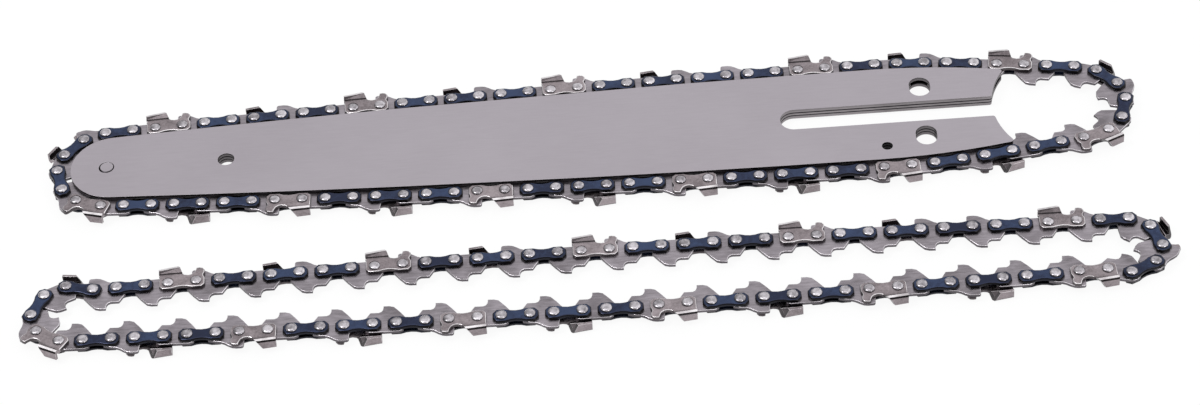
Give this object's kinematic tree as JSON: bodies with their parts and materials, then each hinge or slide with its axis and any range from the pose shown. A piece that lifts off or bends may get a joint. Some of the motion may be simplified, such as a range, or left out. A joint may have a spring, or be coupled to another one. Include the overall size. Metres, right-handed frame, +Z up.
{
  "type": "saw bar and chain set",
  "caption": "Laminated sprocket-nose guide bar with a saw chain laid round it and a spare chain loop beside it, the cutting set of a pole saw.",
  "frame": {"origin": "middle of the set's footprint, on the floor", "axes": "+X along the bar from nose to tail, +Y from the spare chain to the bar, +Z up"},
  "size_m": [0.4138, 0.1302, 0.0064],
  "materials": {
    "bar_steel": "satin ground",
    "strap_blue": "blued gloss",
    "cutter_steel": "satin plated",
    "link_steel": "satin",
    "rivet_steel": "bright"
  },
  "bodies": {
    "bar_and_chain": {"bar_bottom_plate": "bar_steel", "bar_core_plate": "bar_steel", "bar_top_plate": "bar_steel", "nose_rivet": "rivet_steel", "nose_bearing_race": "link_steel", "rail_bumper_links": "link_steel", "rail_cutters_under": "cutter_steel", "rail_cutters_upper": "cutter_steel", "rail_drive_links": "link_steel", "rail_rivets": "rivet_steel", "rail_straps_under": "strap_blue", "rail_straps_upper": "strap_blue"},
    "nose_sprocket": {"nose_sprocket": "link_steel"},
    "nose_rollers": {"nose_bearing_rollers": "link_steel"},
    "tail_upper_branch": {"tail_upper_bumper_links": "link_steel", "tail_upper_rivets": "rivet_steel", "tail_upper_straps_under": "strap_blue", "tail_upper_straps_upper": "strap_blue"},
    "tail_bow": {"tail_bow_bumper_links": "link_steel", "tail_bow_cutters_under": "cutter_steel", "tail_bow_cutters_upper": "cutter_steel", "tail_bow_drive_links": "link_steel", "tail_bow_rivets": "rivet_steel", "tail_bow_straps_under": "strap_blue", "tail_bow_straps_upper": "strap_blue"},
    "tail_lower_branch": {"tail_lower_bumper_links": "link_steel", "tail_lower_rivets": "rivet_steel", "tail_lower_straps_under": "strap_blue", "tail_lower_straps_upper": "strap_blue"},
    "spare_lower_run": {"spare_lower_bumper_links": "link_steel", "spare_lower_cutters_under": "cutter_steel", "spare_lower_cutters_upper": "cutter_steel", "spare_lower_drive_links": "link_steel", "spare_lower_rivets": "rivet_steel", "spare_lower_straps_under": "strap_blue", "spare_lower_straps_upper": "strap_blue"},
    "spare_left_bow": {"spare_left_bumper_links": "link_steel", "spare_left_cutters_under": "cutter_steel", "spare_left_cutters_upper": "cutter_steel", "spare_left_drive_links": "link_steel", "spare_left_rivets": "rivet_steel", "spare_left_straps_under": "strap_blue", "spare_left_straps_upper": "strap_blue"},
    "spare_upper_run": {"spare_upper_bumper_links": "link_steel", "spare_upper_cutters_under": "cutter_steel", "spare_upper_cutters_upper": "cutter_steel", "spare_upper_drive_links": "link_steel", "spare_upper_rivets": "rivet_steel", "spare_upper_straps_under": "strap_blue", "spare_upper_straps_upper": "strap_blue"},
    "spare_right_bow": {"spare_right_bumper_links": "link_steel", "spare_right_cutters_under": "cutter_steel", "spare_right_drive_links": "link_steel", "spare_right_rivets": "rivet_steel", "spare_right_straps_under": "strap_blue", "spare_right_straps_upper": "strap_blue"}
  },
  "joints": [
    {"name": "nose_sprocket_spin", "type": "hinge", "parent": "bar_and_chain", "child": "nose_sprocket", "pos_m": [-0.17973, 0.03066, 0.00322], "axis": [0, 0, 1], "range_deg": [-4, 4]},
    {"name": "nose_roller_orbit", "type": "hinge", "parent": "bar_and_chain", "child": "nose_rollers", "pos_m": [-0.17973, 0.03066, 0.00322], "axis": [0, 0, 1], "range_deg": [-2.3, 2.3]},
    {"name": "tail_sway", "type": "hinge", "parent": "bar_and_chain", "child": "tail_upper_branch", "pos_m": [0.16324, 0.05245, 0.00322], "axis": [0, 0, 1], "range_deg": [-6, 6]},
    {"name": "tail_bow_turn", "type": "hinge", "parent": "tail_upper_branch", "child": "tail_bow", "pos_m": [0.18163, 0.04967, 0.00322], "axis": [0, 0, 1], "range_deg": [-6.9, 6.9]},
    {"name": "tail_lower_turn", "type": "hinge", "parent": "bar_and_chain", "child": "tail_lower_branch", "pos_m": [0.16193, 0.00866, 0.00322], "axis": [0, 0, 1], "range_deg": [-6.1, 6.1]},
    {"name": "spare_lift", "type": "slide", "parent": "bar_and_chain", "child": "spare_lower_run", "axis": [0, 0, 1], "range_m": [0, 0.1]},
    {"name": "spare_rack", "type": "hinge", "parent": "spare_lower_run", "child": "spare_left_bow", "pos_m": [-0.19196, -0.05559, 0.00322], "axis": [0, 0, 1], "range_deg": [0, 20]},
    {"name": "spare_upper_turn", "type": "hinge", "parent": "spare_left_bow", "child": "spare_upper_run", "pos_m": [-0.18126, -0.0313, 0.00322], "axis": [0, 0, 1], "range_deg": [-20, 0]},
    {"name": "spare_right_turn", "type": "hinge", "parent": "spare_lower_run", "child": "spare_right_bow", "pos_m": [0.18, -0.05559, 0.00322], "axis": [0, 0, 1], "range_deg": [0, 20]}
  ],
  "couplings": [
    {"joint": "nose_roller_orbit", "follows": "nose_sprocket_spin", "ratio": 0.5697},
    {"joint": "tail_bow_turn", "follows": "tail_sway", "ratio": -1.1467},
    {"joint": "tail_lower_turn", "follows": "tail_sway", "ratio": 1.011},
    {"joint": "spare_upper_turn", "follows": "spare_rack", "ratio": -1},
    {"joint": "spare_right_turn", "follows": "spare_rack", "ratio": 1}
  ]
}
